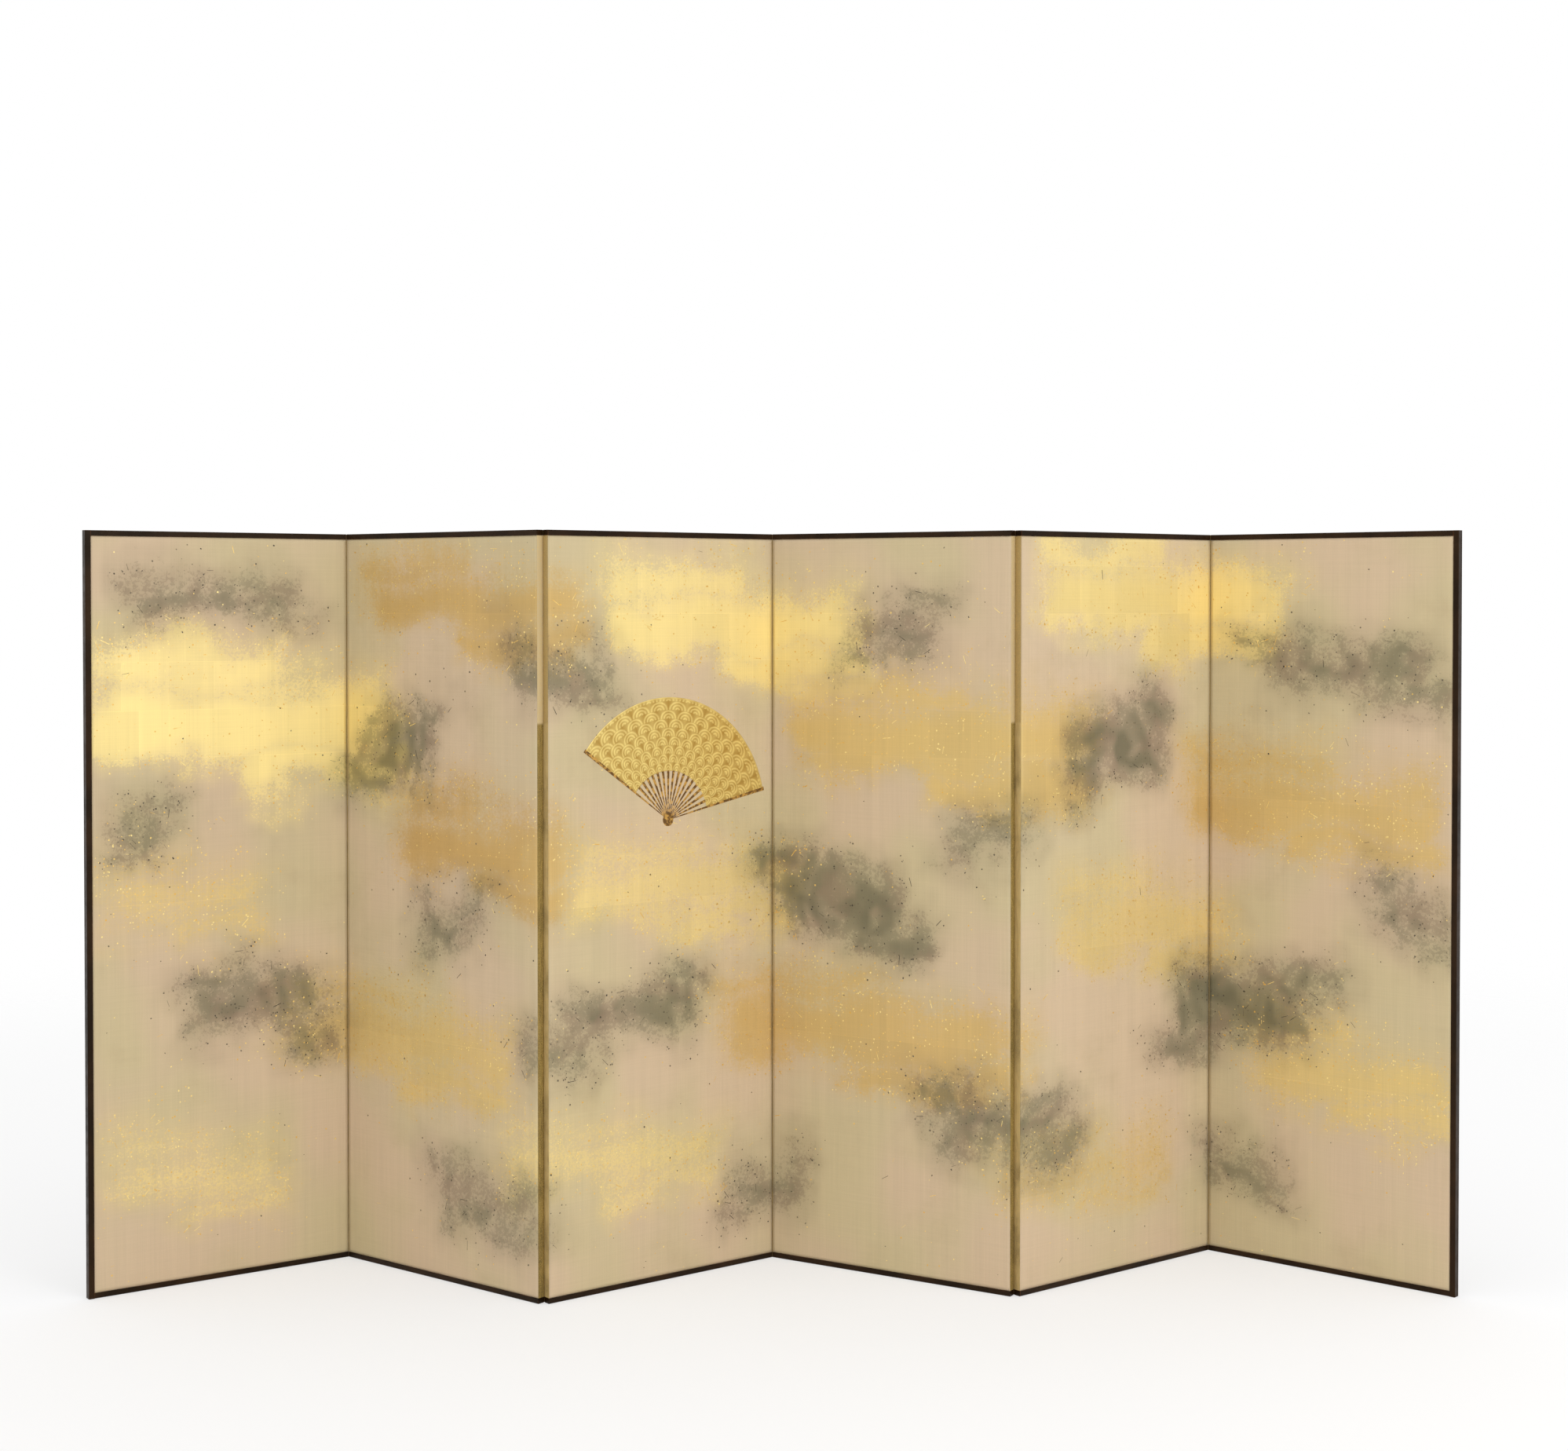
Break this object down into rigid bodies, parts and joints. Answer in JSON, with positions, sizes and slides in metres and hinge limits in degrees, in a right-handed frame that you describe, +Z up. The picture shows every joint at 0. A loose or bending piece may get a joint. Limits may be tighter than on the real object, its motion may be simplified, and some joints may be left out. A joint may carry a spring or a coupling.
{
  "type": "byobu folding screen",
  "caption": "Free-standing folding screen: tall paper-hinged panels in a zigzag, painted gold-and-silk faces, papered backs and thin dark lacquered rails.",
  "frame": {"origin": "on the floor, at the middle of the screen's box in plan", "axes": "+X to the viewer's right along the zigzag, +Y away from the viewer (painted faces look towards -Y), +Z up"},
  "size_m": [3.066, 0.4698, 1.712],
  "materials": {
    "cedar_core": "planed cedar, hidden under the papers",
    "kozo_lining": "layered handmade paper",
    "painted_silk": "aged silk with gold leaf, gold dust and darkened silver",
    "back_paper": "printed paper, matt",
    "black_lacquer": "worn black-brown lacquer, satin",
    "nail_iron": "blackened iron",
    "hinge_paper": "gold-dusted paper"
  },
  "bodies": {
    "panel_1": {"panel_1_core_frame": "cedar_core", "panel_1_core_slats": "cedar_core", "panel_1_linings": "kozo_lining", "panel_1_painted_face": "painted_silk", "panel_1_back_paper": "back_paper", "panel_1_top_rail": "black_lacquer", "panel_1_bottom_rail": "black_lacquer", "panel_1_nails": "nail_iron", "left_end_stile": "black_lacquer", "fold_1_left_papers": "hinge_paper"},
    "panel_2": {"panel_2_core_frame": "cedar_core", "panel_2_core_slats": "cedar_core", "panel_2_linings": "kozo_lining", "panel_2_painted_face": "painted_silk", "panel_2_back_paper": "back_paper", "panel_2_top_rail": "black_lacquer", "panel_2_bottom_rail": "black_lacquer", "panel_2_nails": "nail_iron", "fold_1_right_papers": "hinge_paper", "fold_2_left_papers": "hinge_paper"},
    "panel_3": {"panel_3_core_frame": "cedar_core", "panel_3_core_slats": "cedar_core", "panel_3_linings": "kozo_lining", "panel_3_painted_face": "painted_silk", "panel_3_back_paper": "back_paper", "panel_3_top_rail": "black_lacquer", "panel_3_bottom_rail": "black_lacquer", "panel_3_nails": "nail_iron", "fold_2_right_papers": "hinge_paper", "fold_3_left_papers": "hinge_paper"},
    "panel_4": {"panel_4_core_frame": "cedar_core", "panel_4_core_slats": "cedar_core", "panel_4_linings": "kozo_lining", "panel_4_painted_face": "painted_silk", "panel_4_back_paper": "back_paper", "panel_4_top_rail": "black_lacquer", "panel_4_bottom_rail": "black_lacquer", "panel_4_nails": "nail_iron", "fold_3_right_papers": "hinge_paper", "fold_4_left_papers": "hinge_paper"},
    "panel_5": {"panel_5_core_frame": "cedar_core", "panel_5_core_slats": "cedar_core", "panel_5_linings": "kozo_lining", "panel_5_painted_face": "painted_silk", "panel_5_back_paper": "back_paper", "panel_5_top_rail": "black_lacquer", "panel_5_bottom_rail": "black_lacquer", "panel_5_nails": "nail_iron", "fold_4_right_papers": "hinge_paper", "fold_5_left_papers": "hinge_paper"},
    "panel_6": {"panel_6_core_frame": "cedar_core", "panel_6_core_slats": "cedar_core", "panel_6_linings": "kozo_lining", "panel_6_painted_face": "painted_silk", "panel_6_back_paper": "back_paper", "panel_6_top_rail": "black_lacquer", "panel_6_bottom_rail": "black_lacquer", "panel_6_nails": "nail_iron", "fold_5_right_papers": "hinge_paper", "right_end_stile": "black_lacquer"}
  },
  "joints": [
    {"name": "fold_1", "type": "hinge", "parent": "panel_2", "child": "panel_1", "pos_m": [-1.00807, 0.1602, 0], "axis": [0, 0, -1], "range_deg": [-106, 74]},
    {"name": "fold_2", "type": "hinge", "parent": "panel_3", "child": "panel_2", "pos_m": [-0.5075, -0.21955, 0], "axis": [0, 0, 1], "range_deg": [-102.5, 77.5]},
    {"name": "fold_3", "type": "hinge", "parent": "panel_3", "child": "panel_4", "pos_m": [-0.00363, 0.15582, 0], "axis": [0, 0, 1], "range_deg": [-109.5, 70.5]},
    {"name": "fold_4", "type": "hinge", "parent": "panel_4", "child": "panel_5", "pos_m": [0.53948, -0.16009, 0], "axis": [0, 0, -1], "range_deg": [-109, 71]},
    {"name": "fold_5", "type": "hinge", "parent": "panel_5", "child": "panel_6", "pos_m": [1.04006, 0.21965, 0], "axis": [0, 0, 1], "range_deg": [-101, 79]}
  ]
}
